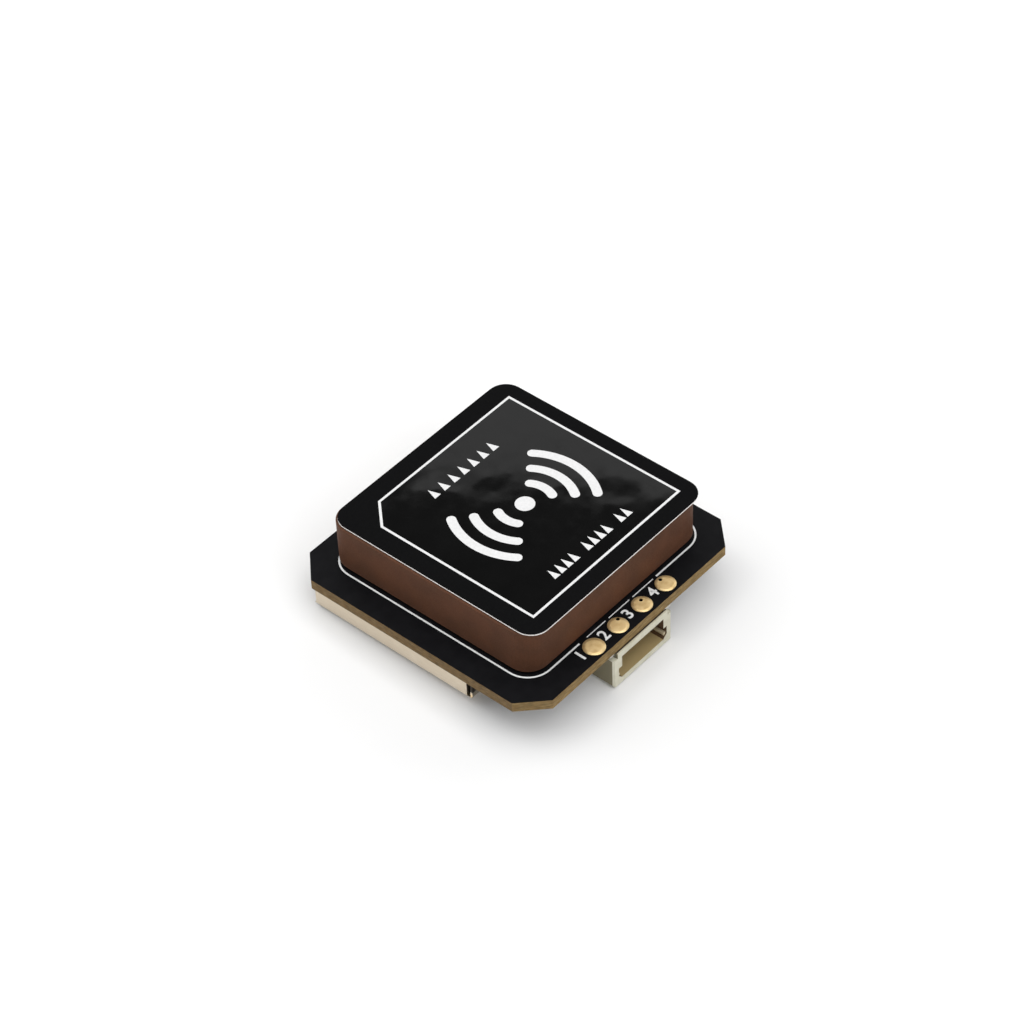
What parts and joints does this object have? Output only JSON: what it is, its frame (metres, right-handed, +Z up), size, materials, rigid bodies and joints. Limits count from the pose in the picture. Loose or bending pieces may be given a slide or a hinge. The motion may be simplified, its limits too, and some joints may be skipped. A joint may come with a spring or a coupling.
{
  "type": "gps module",
  "caption": "Satellite receiver module: a square ceramic patch antenna with a label on a black board with cut corners, shield can and side-entry connector below.",
  "frame": {"origin": "middle of the box around the whole module, at the underside of the connector that it stands on", "axes": "+Z up, from the connector and the shield can to the antenna's label; the connector's mouth faces -Y and its ways run along X"},
  "size_m": [0.022, 0.0218, 0.0078],
  "materials": {
    "board": "black solder mask, bare glass-fibre edge",
    "gold": "gold plated",
    "tape": "matt",
    "silver": "fired silver",
    "ceramic": "unglazed",
    "label": "printed film",
    "can": "tinned, satin",
    "contact": "tinned",
    "housing": "moulded, satin",
    "package": "moulded, matt",
    "lid": "satin",
    "capacitor": "satin"
  },
  "bodies": {
    "root": {"circuit_board": "board", "solder_pad_1": "gold", "solder_pad_2": "gold", "solder_pad_3": "gold", "solder_pad_4": "gold", "antenna_tape": "tape", "antenna_ground_electrode": "silver", "antenna_ceramic": "ceramic", "antenna_top_electrode": "silver", "antenna_feed_pin": "silver", "antenna_label": "label", "shield_can": "can", "connector_housing": "housing", "connector_contact_1": "contact", "connector_contact_2": "contact", "connector_contact_3": "contact", "connector_contact_4": "contact", "connector_tab_left": "contact", "connector_tab_right": "contact", "receiver_chip": "package", "low_noise_amplifier": "package", "voltage_regulator": "package", "inductor": "package", "resistor_1": "package", "resistor_2": "package", "resistor_3": "package", "reference_oscillator": "lid", "clock_crystal": "lid", "band_filter": "lid", "capacitor_1": "capacitor", "capacitor_2": "capacitor", "capacitor_3": "capacitor", "capacitor_4": "capacitor", "capacitor_5": "capacitor"}
  },
  "joints": []
}
